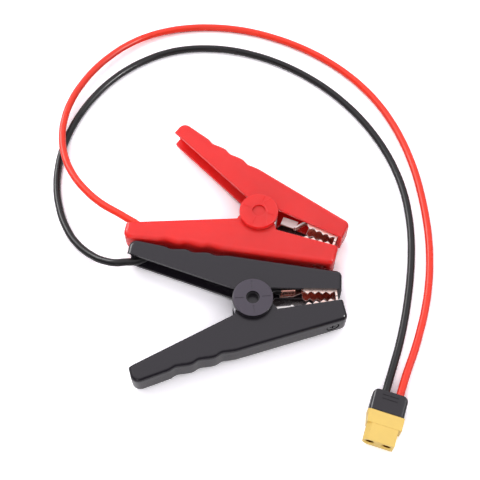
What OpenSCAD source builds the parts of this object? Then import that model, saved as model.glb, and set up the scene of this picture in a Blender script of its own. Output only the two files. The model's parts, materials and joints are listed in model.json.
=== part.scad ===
// Jumper clamp lead: a black and a red battery clamp on two silicone wires that end in one
// yellow two-pole bullet connector. Each clamp is two identical moulded lever shells, turned
// half a turn about the clamp's long axis to each other, on a pin with a torsion spring.
// Clamp frame: the pivot is the origin, +X points to the jaws and +Z is square to the levers.

/* [Lever shells] */
// Distance from the pivot to the outer corner of the nose
nose_reach = 41; // [36:0.1:46]
// Distance of the nose's outer corner from the clamp axis
nose_out = 11.4; // [10:0.1:14]
// How far the nose leans back on its inner side
nose_lean = 1.2; // [0:0.1:2]
// Half of the gap between the two noses
nose_gap = 2.5; // [2.3:0.1:3]
// Distance from the pivot to the end of the handle
handle_reach = 55; // [48:0.2:64]
// Distance of the handle's outer corner from the clamp axis
handle_out = 33.9; // [30:0.2:38]
// How far the handle flares out past the straight outer line, at its end
handle_flare = 1; // [0:0.1:2]
// Distance of the handle's inner corner from the clamp axis
handle_in = 27.4; // [24:0.2:30]
// How far the handle's end leans back on its outer side
end_lean = 1.6; // [0:0.1:3]
// Where the inner edge of the handle starts, behind the pivot
handle_root = 8.3; // [7.8:0.1:9.5]
// Distance of the handle's start from the clamp axis
root_out = 6.3; // [5.8:0.1:7]
// Where the mouth's edge starts, ahead of the pivot
mouth_root = 10.5; // [9.5:0.1:12]
// Distance of the mouth's start from the clamp axis
mouth_out = 5.1; // [4.8:0.1:5.6]
// Width across the two side plates of a lever
shell_w = 12.4; // [11.8:0.1:14]
// Thickness of a side plate
plate_t = 1.5; // [1.3:0.1:1.8]
// Thickness of the outer, nose and end walls
wall_t = 2; // [1.4:0.1:2.4]
// Rounding of the outer edges
edge_r = 2; // [1:0.1:2.2]
// Rounding of the nose corner, seen from above
nose_r = 2.6; // [2.3:0.1:3.5]
// Rounding of the handle's end corner, seen from above
end_r = 3.6; // [2.4:0.1:4]

/* [Finger grips] */
// Number of finger hollows
hollows = 3; // [2:1:4]
// Distance from one hollow to the next
hollow_pitch = 10; // [8:0.5:11]
// Depth of a finger hollow
hollow_depth = 0.9; // [0.6:0.1:1.5]
// Where the hollows start, behind the pivot
hollow_start = 8.5; // [6:0.5:12]

/* [Pivot] */
// Radius of the outer ear disc
ear_r = 9; // [8.6:0.1:9.6]
// How far the disc stands proud of the side plate
ear_rise = 2.8; // [2.2:0.1:3.6]
// Rounding of the disc's rim
ear_edge = 0.5; // [0.2:0.1:0.8]
// Radius of the inner ear
inner_ear_r = 7.2; // [6.6:0.1:7.4]
// Gap between a piece and its neighbour on the other lever
move_gap = 0.35; // [0.3:0.05:0.5]
// Radius of the pivot pin's journals
pin_r = 2.95; // [2.4:0.05:3.2]
// Radial running fit of the pin in the ears
pin_fit = 0.05; // [0.03:0.01:0.1]
// Radius of the pin's middle shoulder
pin_shoulder_r = 5; // [4:0.1:5.6]
// How deep the pin's ends sit below the disc faces
pin_recess = 1; // [0.8:0.1:2]
// Radius of the blind bore in one end of the pin
pin_bore_r = 2.5; // [1.6:0.1:2.6]
// Depth of the blind bore
pin_bore_d = 2.5; // [2:0.5:7]
// Width of the four mould marks on the disc
mark_w = 0.4; // [0.3:0.1:0.8]
// Depth of the mould marks
mark_d = 0.2; // [0.1:0.05:0.4]

/* [Spring] */
// Wire diameter of the torsion spring
spring_wire = 1.6; // [1.2:0.1:1.8]
// Mean radius of the coil
coil_r = 7.9; // [7.2:0.1:8]
// Distance between the turns
coil_pitch = 2.6; // [2.4:0.05:2.9]
// Full turns before the legs are counted
coil_turns = 2; // [2:1:2]
// Length of each leg
leg_len = 26; // [18:0.5:28]
// Direction of a leg, from the jaw side of the clamp axis
leg_dir = 153; // [150:0.5:156]

/* [Jaws] */
// Sheet thickness of the jaws
jaw_t = 0.9; // [0.7:0.1:1.1]
// Clearance between a jaw and the shell that holds it
jaw_fit = 0.15; // [0.1:0.05:0.3]
// Number of teeth on each flange
teeth = 4; // [3:1:4]
// Distance from one tooth to the next
tooth_pitch = 3.3; // [3:0.1:3.4]
// Where the foremost tooth's tip is, ahead of the pivot
tooth_front = 34.4; // [33:0.1:34.6]
// Height of a tooth
tooth_h = 1.3; // [1:0.1:1.6]
// How far the flanges stand out past the shell's mouth edge
gum = 0.6; // [0.4:0.1:0.7]
// Half of the gap between the two front lips
lip_gap = 0.2; // [0.17:0.01:0.4]
// Distance of the jaw's back wall from the clamp axis
jaw_back = 7.6; // [7:0.1:7.8]
// Width of the flat tongue behind each jaw
tongue_w = 4; // [3:0.1:4.4]
// Height of the neck between the free jaw and its tongue
neck_h = 3.2; // [2:0.1:5]
// Distance of the free jaw's tongue from the clamp axis
free_tongue_out = 1.6; // [1.2:0.1:3]
// Distance of the wired jaw's tongue from the clamp axis
wired_tongue_out = 4; // [3.8:0.1:4.4]
// Where the free jaw's tongue ends, ahead of the pivot
tongue_end = 10.4; // [10:0.1:12]
// Where the wired jaw's tongue ends, ahead of the pivot
wired_tongue_end = 12.6; // [12:0.1:13.2]

/* [Jaw screws] */
// Distance of the screw ahead of the pivot, along the clamp axis
screw_at = 34.4; // [31:0.1:34.6]
// Radius of the screw's recess in the outer wall
recess_r = 3; // [2.6:0.1:3.2]
// Depth of the recess
recess_d = 1.1; // [0.6:0.1:1.2]
// Radius of the screw's head
head_r = 2.5; // [2:0.1:2.6]
// Height of the screw's head
head_h = 0.9; // [0.6:0.1:1]
// Radius of the screw's shank
shank_r = 1.1; // [0.9:0.05:1.2]
// Radius of the boss behind the recess
boss_r = 2.6; // [2.2:0.1:2.9]
// Radial clearance of the screw
screw_fit = 0.1; // [0.05:0.05:0.2]

/* [Wires] */
// Outer diameter of the silicone wires
wire_d = 3.5; // [3:0.1:3.8]
// Diameter of the stranded core
core_d = 2.4; // [1.6:0.1:2.4]
// Outer radius of the crimp barrel on the wired jaw
crimp_r = 2; // [1.8:0.05:2.1]
// Length of the crimp barrel
crimp_len = 6; // [4:0.5:6.5]

/* [Connector] */
// Width of the housing's collar
collar_w = 15.8; // [15.4:0.1:16.4]
// Height of the collar
collar_h = 8.1; // [7.9:0.1:8.6]
// Length of the collar
collar_len = 5.6; // [5:0.2:8]
// Width of the part that plugs in
plug_w = 13.2; // [12.8:0.1:14]
// Height of the part that plugs in
plug_h = 7.7; // [7:0.1:7.9]
// Length of the part that plugs in
plug_len = 7.4; // [7:0.2:10]
// Chamfers on the keyed side, which is the negative pole's side
key_chamfer = 1.9; // [1.5:0.1:2.8]
// How much the collar narrows toward the plug, on the keyed side
collar_taper = 1.1; // [0:0.1:1.2]
// Distance between the two poles
pole_pitch = 7.2; // [7:0.1:7.6]
// Bore radius of a contact
contact_bore_r = 1.75; // [1.5:0.05:1.85]
// Wall of a contact
contact_wall = 0.45; // [0.3:0.05:0.5]
// Radial clearance of a contact in the housing
contact_fit = 0.05; // [0.03:0.01:0.1]
// Length of the bore that a mating pin enters
contact_depth = 12; // [10:0.5:12]
// Length of the rear cover
cover_len = 9.5; // [8.6:0.1:10]
// Wall of the cover
cover_t = 1; // [0.8:0.1:1.2]
// Rounding of the cover's back corners
cover_r = 2.4; // [1.5:0.1:2.8]
// Rounding of the cover's four long edges
cover_edge_r = 1.9; // [1:0.1:2]
// Distance between the two wires where they leave the cover
exit_pitch = 6.2; // [6:0.1:7.2]
// How far the two exits sit off the middle, to the red wire's side
exit_shift = 0.8; // [0:0.1:1]
// Radial clearance of a wire in the cover
cable_fit = 0.35; // [0.2:0.05:0.5]

/* [Layout] */
// Place of the black clamp's pivot on the floor
black_at = [5.6, -37.7];
// Turn of the black clamp
black_turn = 4; // [0:0.5:8]
// Place of the red clamp's pivot on the floor
red_at = [8.7, 6];
// Turn of the red clamp
red_turn = -22; // [-26:0.5:-18]
// Place of the connector's front end on the floor
plug_at = [57.45, -98.9];
// Direction in which the connector points
plug_turn = -108.5; // [-115:0.5:-104]

/* [Hidden] */

black_plastic = [0.16, 0.16, 0.17];
red_plastic = [0.9, 0.12, 0.12];
copper = [0.8, 0.5, 0.38];
steel = [0.72, 0.72, 0.74];
yellow_plastic = [0.95, 0.76, 0.3];
gold = [0.85, 0.68, 0.3];

half_w = shell_w / 2;
inner_half_w = half_w - plate_t;
ear_top = half_w + ear_rise;
mid_z = ear_top;
wire_r = wire_d / 2;
eps = 0.01;

// ---------- plane geometry ----------

function unit(v) = v / norm(v);
function left_of(v) = [-v.y, v.x];

// Arc points that round the corner b between a and c
function rounded(a, b, c, r, steps = 5) =
    let (u = unit(a - b), v = unit(c - b), half = acos(u * v) / 2)
    let (start = b + u * r / tan(half), centre = b + unit(u + v) * r / sin(half))
    let (sweep = 2 * (90 - half), side = sign(u.x * v.y - u.y * v.x))
    let (first = atan2(start.y - centre.y, start.x - centre.x))
    [for (k = [0:steps]) centre + r * [cos(first - side * sweep * k / steps),
                                       sin(first - side * sweep * k / steps)]];

// A closed outline moved inward by d, for points in counterclockwise order
function inset(points, d) =
    let (n = len(points))
    [for (i = [0:n - 1])
        let (before = left_of(unit(points[i] - points[(i + n - 1) % n])))
        let (after = left_of(unit(points[(i + 1) % n] - points[i])))
        points[i] + d * (before + after) / (1 + before * after)];

function turned(p, angle) = [p.x * cos(angle) - p.y * sin(angle),
                             p.x * sin(angle) + p.y * cos(angle)];

// ---------- lever outline ----------

nose_outer = [nose_reach, nose_out];
nose_inner = [nose_reach - nose_lean, nose_gap];
line_end = [end_lean - handle_reach, handle_out];
end_outer = line_end + [0, handle_flare];
end_inner = [-handle_reach, handle_in];
root = [-handle_root, root_out];
mouth = [mouth_root, mouth_out];
out_dir = unit(line_end - nose_outer);
out_tilt = atan2(-out_dir.y, -out_dir.x);

// The walls run on past the open side by this much before they are trimmed
overrun = 14;
nose_foot = nose_inner + unit(nose_inner - nose_outer) * overrun;
end_foot = end_inner + unit(end_inner - end_outer) * overrun;

// Depth of the finger hollows at a place t hollows along the row
function hollow(t) =
    let (f = t - floor(t), skewed = f + 0.12 * (1 - cos(360 * f)) / 2)
    hollow_depth * (1 - cos(360 * skewed)) / 2;

hollow_steps = 11;
hollow_row = [for (k = [0:hollows * hollow_steps])
    let (t = k / hollow_steps, x = -hollow_start - hollow_pitch * t)
    let (y = nose_outer.y + (x - nose_outer.x) * out_dir.y / out_dir.x)
    [x, y] + left_of(out_dir) * hollow(hollows - t)];

// The whole lever seen from above, with its open side overrun
lever_outline = concat(
    [nose_foot],
    rounded(nose_foot, nose_outer, end_outer, nose_r),
    hollow_row,
    rounded(hollow_row[hollows * hollow_steps], end_outer, end_foot, end_r),
    [end_foot]);

// The part of the plane that a lever takes up, bounded by the mouth and handle edges
far_out = 60;
mouth_dir = unit(nose_inner - mouth);
grip_dir = unit(end_inner - root);
lever_side = [mouth, mouth + mouth_dir * far_out, [mouth.x + far_out, far_out],
              [-handle_root - far_out, far_out], root + grip_dir * far_out, root];

// ---------- lever shell ----------

fillet_steps = 4;
function fillet_level(k) = let (a = 90 * k / fillet_steps)
    [edge_r * (1 - sin(a)), edge_r * (1 - cos(a))];
// The rims run on past the two faces by this much before they are trimmed
rim_over = 0.1;
rim_slope = (edge_r - fillet_level(1)[0]) / fillet_level(1)[1];
function rim_level(k) = k > 0 ? fillet_level(k) : [edge_r + rim_slope * rim_over, -rim_over];

// A plate with the given outline and with its rims rounded by edge_r, to trim to shell_w
module rounded_plate(outline) {
    lower = [for (k = [0:fillet_steps]) [rim_level(k)[0], rim_level(k)[1] - half_w]];
    upper = [for (k = [fillet_steps:-1:0]) [rim_level(k)[0], half_w - rim_level(k)[1]]];
    levels = concat(lower, upper);
    n = len(outline);
    rings = [for (level = levels) for (p = inset(outline, level[0])) [p.x, p.y, level[1]]];
    sides = [for (r = [0:len(levels) - 2]) for (i = [0:n - 1])
        let (j = (i + 1) % n, a = r * n, b = (r + 1) * n)
        each [[a + i, b + j, a + j], [a + i, b + i, b + j]]];
    caps = [[for (i = [0:n - 1]) i], [for (i = [n - 1:-1:0]) (len(levels) - 1) * n + i]];
    polyhedron(rings, concat(sides, caps), convexity = 8);
}

// The bridge from a lever's root to its inner ear
ear_bridge = [root, [-inner_ear_r, 0], [inner_ear_r, 0], mouth];
ear_clear_r = inner_ear_r + move_gap;

// Puts a child on the outer wall at the screw, with its +Z pointing out of the wall
module at_screw() {
    foot = nose_outer + out_dir * ((screw_at - nose_outer.x) / out_dir.x);
    translate([foot.x, foot.y, 0]) rotate([0, 0, out_tilt]) rotate([-90, 0, 0]) children();
}

// One lever: outer ear disc on +Z, inner ear on -Z, its jaws and handle on +Y
module lever_shell() {
    difference() {
        union() {
            intersection() {
                rounded_plate(lever_outline);
                translate([0, 0, -half_w]) linear_extrude(shell_w) polygon(lever_side);
            }
            translate([0, 0, -half_w]) linear_extrude(plate_t) polygon(ear_bridge);
            translate([0, 0, -half_w]) cylinder(r = inner_ear_r, h = plate_t, $fn = 64);
            outer_ear();
        }
        lever_cavity();
        translate([0, 0, half_w - plate_t - eps])
            cylinder(r = ear_clear_r, h = plate_t + move_gap + eps, $fn = 64);
        translate([0, 0, -ear_top - 1])
            cylinder(r = pin_r + pin_fit, h = 2 * ear_top + 2, $fn = 48);
        at_screw() {
            translate([0, 0, -recess_d]) cylinder(r = recess_r, h = recess_d + 2, $fn = 48);
            translate([0, 0, -nose_out]) cylinder(r = shank_r + screw_fit, h = nose_out, $fn = 32);
        }
        end_opening();
    }
}

// A mould mark stops this far short of the pin's hole and of the disc's rim
mark_inner = 1;
mark_outer = 1.2;

// The disc over the other lever's inner ear, with its four mould marks
module outer_ear() {
    difference() {
        translate([0, 0, half_w]) rotate_extrude($fn = 96)
            polygon([[0, 0], [ear_r, 0], [ear_r, ear_rise - ear_edge],
                     [ear_r - ear_edge * 0.3, ear_rise - ear_edge * 0.3],
                     [ear_r - ear_edge, ear_rise], [0, ear_rise]]);
        for (a = [0:90:270]) rotate([0, 0, a])
            translate([pin_r + mark_inner, -mark_w / 2, ear_top - mark_d])
                cube([ear_r - pin_r - mark_inner - mark_outer, mark_w, mark_d + 1]);
        // room for the other lever's plate under the part that it passes
        translate([0, 0, half_w - eps]) linear_extrude(move_gap + eps)
            polygon([root, [-ear_r - 1, root_out], [-ear_r - 1, -ear_r - 1],
                     [ear_r + 1, -ear_r - 1], [ear_r + 1, mouth_out], mouth]);
    }
}

// The channel inside a lever, with the boss that backs the jaw screw left standing
module lever_cavity() {
    difference() {
        translate([0, 0, -inner_half_w]) linear_extrude(2 * inner_half_w)
            polygon(inset(lever_outline, wall_t));
        intersection() {
            at_screw() translate([0, 0, -nose_out]) cylinder(r = boss_r, h = nose_out, $fn = 32);
            translate([0, jaw_back + jaw_fit, -half_w])
                cube([nose_reach, nose_out * 2, shell_w]);
        }
    }
}

// Opening through the handle's end wall, this long from the wall's inner corner
end_opening_len = 3.6;
module end_opening() {
    along_wall = unit(end_outer - end_inner);
    translate([end_inner.x, end_inner.y, 0]) rotate([0, 0, atan2(along_wall.y, along_wall.x) - 90])
        translate([-1, -wall_t, -inner_half_w])
            cube([wall_t + 2, wall_t + end_opening_len, 2 * inner_half_w]);
}

// ---------- pivot pin and spring ----------

// The pin's lower end is bored, and its upper end is closed
module pivot_pin() {
    shoulder_h = 2 * (inner_half_w - move_gap / 2);
    pin_end = ear_top - pin_recess;
    difference() {
        union() {
            cylinder(r = pin_r, h = 2 * pin_end, center = true, $fn = 48);
            cylinder(r = pin_shoulder_r, h = shoulder_h, center = true, $fn = 48);
        }
        translate([0, 0, -pin_end - 1]) cylinder(r = pin_bore_r, h = pin_bore_d + 1, $fn = 48);
    }
}

coil_sweep = 2 * (leg_dir - 90) + 360 * coil_turns;
coil_half_h = coil_pitch * coil_sweep / 360 / 2;

// Point of the coil's centre line, s running from 0 to 1
function coil_point(s) = let (a = 90 - leg_dir + coil_sweep * s)
    [coil_r * cos(a), coil_r * sin(a), coil_half_h * (2 * s - 1)];

// Point on a leg, d away from the coil; side is +1 for the upper leg and -1 for the lower
function leg_point(side, d) = let (start = coil_point(side > 0 ? 1 : 0))
    [start.x + d * cos(leg_dir), start.y + side * d * sin(leg_dir), start.z];

coil_steps = round(8 * coil_sweep / 360);
leg_steps = 2;
spring_path = concat(
    [for (k = [leg_steps:-1:1]) leg_point(-1, leg_len * k / leg_steps)],
    [for (k = [0:coil_steps]) coil_point(k / coil_steps)],
    [for (k = [1:leg_steps]) leg_point(1, leg_len * k / leg_steps)]);

// Least gap of the coil to itself: one turn on, less the wire
spring_self_gap = min([for (k = [0:coil_steps - 8])
    norm(coil_point(k / coil_steps) - coil_point((k + 8) / coil_steps)) - spring_wire]);
echo(spring_self_gap = spring_self_gap);

module torsion_spring() {
    swept_tube(spring_path, spring_wire / 2, 6);
}

// A round tube along a path. Its rings stand upright across the path, and its ends are flat.
module swept_tube(path, r, sides) {
    n = len(path);
    function along(i) = i == 0 ? unit(path[1] - path[0])
        : i == n - 1 ? unit(path[n - 1] - path[n - 2])
        : unit(unit(path[i + 1] - path[i]) + unit(path[i] - path[i - 1]));
    points = [for (i = [0:n - 1])
        let (t = along(i), across = unit(cross([0, 0, 1], t)), up = cross(t, across))
        for (k = [0:sides - 1]) let (a = 360 * (k + 0.5) / sides)
            path[i] + r * (cos(a) * across + sin(a) * up)];
    faces = [for (i = [0:n - 2]) for (k = [0:sides - 1])
        let (j = (k + 1) % sides, a = i * sides, b = (i + 1) * sides)
        each [[a + k, b + j, a + j], [a + k, b + k, b + j]]];
    start_cap = [for (k = [1:sides - 2]) [0, k, k + 1]];
    last = (n - 1) * sides;
    end_cap = [for (k = [1:sides - 2]) [last, last + k + 1, last + k]];
    polyhedron(points, concat(faces, start_cap, end_cap), convexity = 10);
}

// ---------- jaws ----------

jaw_half_h = inner_half_w - jaw_fit;
jaw_front = nose_inner.x - wall_t - jaw_fit;
tooth_back = tooth_front - (teeth - 1) * tooth_pitch;
jaw_rear = tooth_back - tooth_pitch / 2;
// Corner cut between the back wall and the front lip
jaw_cut = 0.8;
// The tongue bends away from the back wall over this length
tongue_bend = 4;

// Edge of the shell's mouth at a place along the clamp axis
function mouth_edge(x) = mouth.y + (x - mouth.x) * mouth_dir.y / mouth_dir.x;
function gum_edge(x) = mouth_edge(x) - gum;

flange_outline = concat(
    [[jaw_rear, gum_edge(jaw_rear)]],
    [for (k = [0:teeth - 1]) let (x = tooth_back + k * tooth_pitch)
        each [[x, gum_edge(x) - tooth_h],
              [x + tooth_pitch / 2, gum_edge(x + tooth_pitch / 2)]]],
    [[jaw_front - jaw_t, gum_edge(jaw_front)], [jaw_front - jaw_t, lip_gap],
     [jaw_front, lip_gap], [jaw_front, jaw_back - jaw_cut], [jaw_front - jaw_cut, jaw_back],
     [jaw_rear, jaw_back]]);

// A strip of sheet that follows a line seen from above
module strip(line, h) {
    n = len(line);
    function side(i) = i == 0 ? left_of(unit(line[1] - line[0]))
        : i == n - 1 ? left_of(unit(line[n - 1] - line[n - 2]))
        : let (p = left_of(unit(line[i] - line[i - 1])), q = left_of(unit(line[i + 1] - line[i])))
          (p + q) / (1 + p * q);
    translate([0, 0, -h / 2]) linear_extrude(h)
        polygon(concat(line, [for (i = [n - 1:-1:0]) line[i] + side(i) * jaw_t]));
}

// Flat tongue of the free jaw, turned up on edge at its neck
module free_tongue() {
    neck_start = jaw_rear - 1 - tongue_bend;
    translate([tongue_end, free_tongue_out, -jaw_t / 2])
        cube([neck_start - tongue_end, tongue_w, jaw_t]);
    strip([[neck_start - 1, free_tongue_out], [neck_start, free_tongue_out],
           [jaw_rear - 1, jaw_back - jaw_t], [jaw_rear + 1, jaw_back - jaw_t]], neck_h);
}

// Flat tongue of the wired jaw, which the crimp barrel lies on
module wired_tongue() {
    translate([0, 0, -crimp_r - jaw_t]) linear_extrude(jaw_t)
        polygon([[wired_tongue_end, wired_tongue_out], [jaw_rear - tongue_bend, wired_tongue_out],
                 [jaw_rear + 1, jaw_back - 2 * jaw_t], [jaw_rear + 1, jaw_back],
                 [jaw_rear - tongue_bend, wired_tongue_out + tongue_w],
                 [wired_tongue_end, wired_tongue_out + tongue_w]]);
}

// Stamped jaw: two toothed flanges, a back wall, a front lip and a tongue to the rear
module jaw(wired) {
    difference() {
        union() {
            for (side = [-1, 1]) translate([0, 0, side * (jaw_half_h - jaw_t / 2) - jaw_t / 2])
                linear_extrude(jaw_t) polygon(flange_outline);
            translate([jaw_rear, jaw_back - jaw_t, -jaw_half_h])
                cube([jaw_front - jaw_cut - jaw_rear, jaw_t, 2 * jaw_half_h]);
            translate([jaw_front - jaw_t, lip_gap, -jaw_half_h])
                cube([jaw_t, jaw_back - jaw_cut - lip_gap, 2 * jaw_half_h]);
            if (wired) wired_tongue();
            else free_tongue();
        }
        at_screw() translate([0, 0, -nose_out])
            cylinder(r = shank_r + screw_fit, h = nose_out, $fn = 32);
    }
}

// Length, width and depth of each slot of the cross recess
cross_slot = [2.8, 0.6, 0.5];
// The shank ends this far past the jaw's back wall
shank_past = 1;

module jaw_screw() {
    at_screw() {
        translate([0, 0, -recess_d]) difference() {
            cylinder(r = head_r, h = head_h, $fn = 40);
            for (a = [0, 90]) rotate([0, 0, a])
                translate([-cross_slot.x / 2, -cross_slot.y / 2, head_h - cross_slot.z])
                    cube([cross_slot.x, cross_slot.y, 1]);
        }
        shank_len = nose_out - jaw_back + shank_past;
        translate([0, 0, -recess_d - shank_len]) cylinder(r = shank_r, h = shank_len, $fn = 32);
    }
}

// ---------- wire inside the clamp ----------

// The barrel lies along the middle of the wired jaw's tongue
crimp_y = wired_tongue_out + tongue_w / 2;
crimp_margin = 1;
crimp_rear = wired_tongue_end + crimp_margin;
crimp_front = crimp_rear + crimp_len;

// Barrel that holds the bare strands against the tongue
module crimp_barrel() {
    translate([crimp_rear, crimp_y, 0]) rotate([0, 90, 0]) difference() {
        cylinder(r = crimp_r, h = crimp_len, $fn = 32);
        translate([0, 0, -1]) cylinder(r = core_d / 2 + 0.02, h = crimp_len + 2, $fn = 32);
    }
}

// Routes of the wires inside the levers, in the clamp frame, from the handle to the crimp.
// Both wires slip in under the handle's plates at its open end.
lever_route = [[-36, 24.6, 0], [-24, 20.8, 0], [-12, 16.5, 0], [-3, 13.2, 0],
               [4, 11.2, 0], [8.8, 8.2, 0], [11.6, 6.3, 0], [crimp_rear - 0.3, crimp_y, 0]];
black_tail_route = concat([[-57, 25.5, 0], [-51, 25.6, 0], [-44.5, 27.5, 0]], lever_route);
red_tail_route = concat([[-58, 22.3, 0], [-52, 23.5, 0], [-45, 26.2, 0]], lever_route);

// The insulation stops just short of the crimp, and the core runs on into it
module wire_tail(route) {
    swept_tube(route, wire_r, 8);
    last = route[len(route) - 1];
    translate([last.x - eps, last.y, 0]) rotate([0, 90, 0])
        cylinder(r = core_d / 2, h = crimp_front - last.x, $fn = 24);
}

// ---------- connector ----------
// Connector frame: the front face is at the origin's plane, +X points back to the wires,
// and the poles lie on either side of the axis.

cover_front = plug_len + collar_len;
cover_back = cover_front + cover_len;
contact_r = contact_bore_r + contact_wall;
contact_front = 0.6;
// How far a contact's solder cup reaches into the cover
cup_reach = 3;
cup_back = cover_front + cup_reach;
cup_depth = 2.4;
pole_z = collar_h / 2;
collar_chamfer = 0.8;
// Flare at the mouth of each socket
lead_in = 0.5;
mouth_r = contact_bore_r + 0.2;
// The spigot that the cover clips over: its length, and its play in the cover at each side
spigot_len = 2.4;
spigot_play = 0.3;

// Upright rectangle with its keyed side chamfered, as a cross-section of the plug
function keyed_section(w, h, c) = [[-w / 2, -h / 2], [w / 2 - c, -h / 2], [w / 2, c - h / 2],
    [w / 2, h / 2 - c], [w / 2 - c, h / 2], [-w / 2, h / 2]];

module section_bar(section, from, to) {
    translate([from, 0, pole_z]) rotate([90, 0, 90]) linear_extrude(to - from) polygon(section);
}

module at_poles() {
    for (side = [-1, 1]) translate([0, side * pole_pitch / 2, pole_z]) rotate([0, 90, 0])
        children();
}

module housing() {
    spigot_w = cover_w - 2 * (cover_t + spigot_play);
    spigot_h = cover_h - 2 * (cover_t + spigot_play);
    difference() {
        union() {
            section_bar(keyed_section(plug_w, plug_h, key_chamfer), 0, plug_len + eps);
            intersection() {
                section_bar(keyed_section(collar_w, collar_h, collar_chamfer), plug_len,
                            cover_front);
                translate([0, 0, -1]) linear_extrude(collar_h + 2)
                    polygon([[plug_len, -collar_w / 2], [cover_front, -collar_w / 2],
                             [cover_front, collar_w / 2], [plug_len, collar_w / 2 - collar_taper]]);
            }
            section_bar(keyed_section(spigot_w, spigot_h, collar_chamfer),
                        cover_front - eps, cover_front + spigot_len);
        }
        at_poles() {
            translate([0, 0, -1]) cylinder(r = mouth_r, h = contact_front + 2, $fn = 40);
            translate([0, 0, contact_front])
                cylinder(r = contact_r + contact_fit, h = cover_back, $fn = 40);
            translate([0, 0, -eps]) cylinder(r1 = mouth_r + lead_in, r2 = mouth_r,
                                             h = lead_in, $fn = 40);
        }
    }
}

// One gilt socket with a solder cup at its back
module contact(side) {
    translate([contact_front, side * pole_pitch / 2, pole_z]) rotate([0, 90, 0]) difference() {
        cylinder(r = contact_r, h = cup_back - contact_front, $fn = 40);
        translate([0, 0, -1]) cylinder(r = contact_bore_r, h = contact_depth + 1, $fn = 40);
        translate([0, 0, cup_back - contact_front - cup_depth])
            cylinder(r = core_d / 2, h = cup_depth + 1, $fn = 32);
    }
}

cover_w = collar_w - 0.4;
cover_h = collar_h - 0.3;
cover_gap = 0.3;
// Length, width and rise of each grip bar on the cover's top
grip_bar = [0.8, 7, 0.35];
grip_bars = 2;
grip_pitch = 1.7;
grip_back = 3.6;

// A rectangle of this width and height with its corners rounded by r
function soft_section(w, h, r) =
    let (c = [[-w / 2, -h / 2], [w / 2, -h / 2], [w / 2, h / 2], [-w / 2, h / 2]])
    [for (k = [0:3]) each rounded(c[(k + 3) % 4], c[k], c[(k + 1) % 4], r)];

// The cover's solid form: rounded both as seen from above and as seen from its end
module cover_block() {
    intersection() {
        translate([cover_front + cover_gap, 0, pole_z - cover_h / 2]) linear_extrude(cover_h)
            polygon(concat([[0, -cover_w / 2]],
                rounded([0, -cover_w / 2], [cover_depth, -cover_w / 2],
                        [cover_depth, cover_w / 2], cover_r),
                rounded([cover_depth, -cover_w / 2], [cover_depth, cover_w / 2],
                        [0, cover_w / 2], cover_r),
                [[0, cover_w / 2]]));
        section_bar(soft_section(cover_w, cover_h, cover_edge_r), cover_front, cover_back + 1);
    }
}

module cover() {
    difference() {
        union() {
            cover_block();
            for (k = [0:grip_bars - 1])
                translate([cover_back - grip_back + grip_pitch * k, -grip_bar.y / 2,
                           pole_z + cover_h / 2 - eps])
                    cube([grip_bar.x, grip_bar.y, grip_bar.z]);
        }
        translate([cover_front - 1, cover_t - cover_w / 2, pole_z - cover_h / 2 + cover_t])
            cube([cover_len - cover_t + 1, cover_w - 2 * cover_t, cover_h - 2 * cover_t]);
        for (side = [-1, 1]) translate([0, side * exit_pitch / 2 - exit_shift, pole_z])
            rotate([0, 90, 0]) cylinder(r = wire_r + cable_fit, h = cover_back + 2, $fn = 40);
    }
}
cover_depth = cover_len - cover_gap;

// ---------- layout on the floor ----------

function on_floor(at, turn, p) = at + turned(p, turn);
function flipped(p) = [p.x, -p.y];
trimmed_outline = concat([nose_inner], [for (i = [1:len(lever_outline) - 2]) lever_outline[i]],
                         [end_inner]);
reach = [for (clamp = [[black_at, black_turn], [red_at, red_turn]]) for (p = trimmed_outline)
    each [on_floor(clamp[0], clamp[1], p), on_floor(clamp[0], clamp[1], flipped(p))]];
low = [min([for (p = reach) p.x]), min([for (p = reach) p.y])];
high = [max([for (p = reach) p.x]), max([for (p = reach) p.y])];
// The origin is on the floor under the middle of the two clamps
origin = (low + high) / 2;
echo(origin = origin);

module at_clamp(at, turn) {
    translate([at.x - origin.x, at.y - origin.y, mid_z]) rotate([0, 0, turn]) children();
}
module in_black() { at_clamp(black_at, black_turn) children(); }
module in_red() { at_clamp(red_at, red_turn) children(); }
module other_side() { rotate([180, 0, 0]) children(); }
module at_plug() {
    translate([plug_at.x - origin.x, plug_at.y - origin.y, 0])
        rotate([0, 0, plug_turn + 180]) children();
}

// ---------- free wires ----------

// Point of the clamp frame, with its height above the floor
function from_clamp(at, turn, p, mirror_y) =
    let (q = on_floor(at, turn, [p.x, mirror_y * p.y])) [q.x, q.y, mid_z + p.z];
// Point of the wire on this side of the connector, d behind its front face
function behind_plug(side, pitch, shift, d) =
    let (q = on_floor(plug_at, plug_turn + 180, [d, side * pitch / 2 - shift]))
    [q.x, q.y, pole_z];
// A wire leaves its cup square to it, moves over inside the cover, and leaves the cover square
cup_straight = 1.5;
exit_straight = 0.5;
function behind_cup(side) = [
    behind_plug(side, pole_pitch, 0, cup_back),
    behind_plug(side, pole_pitch, 0, cup_back + cup_straight),
    behind_plug(side, exit_pitch, exit_shift, cover_back - cover_t - cable_fit),
    behind_plug(side, exit_pitch, exit_shift, cover_back + exit_straight)];

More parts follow.
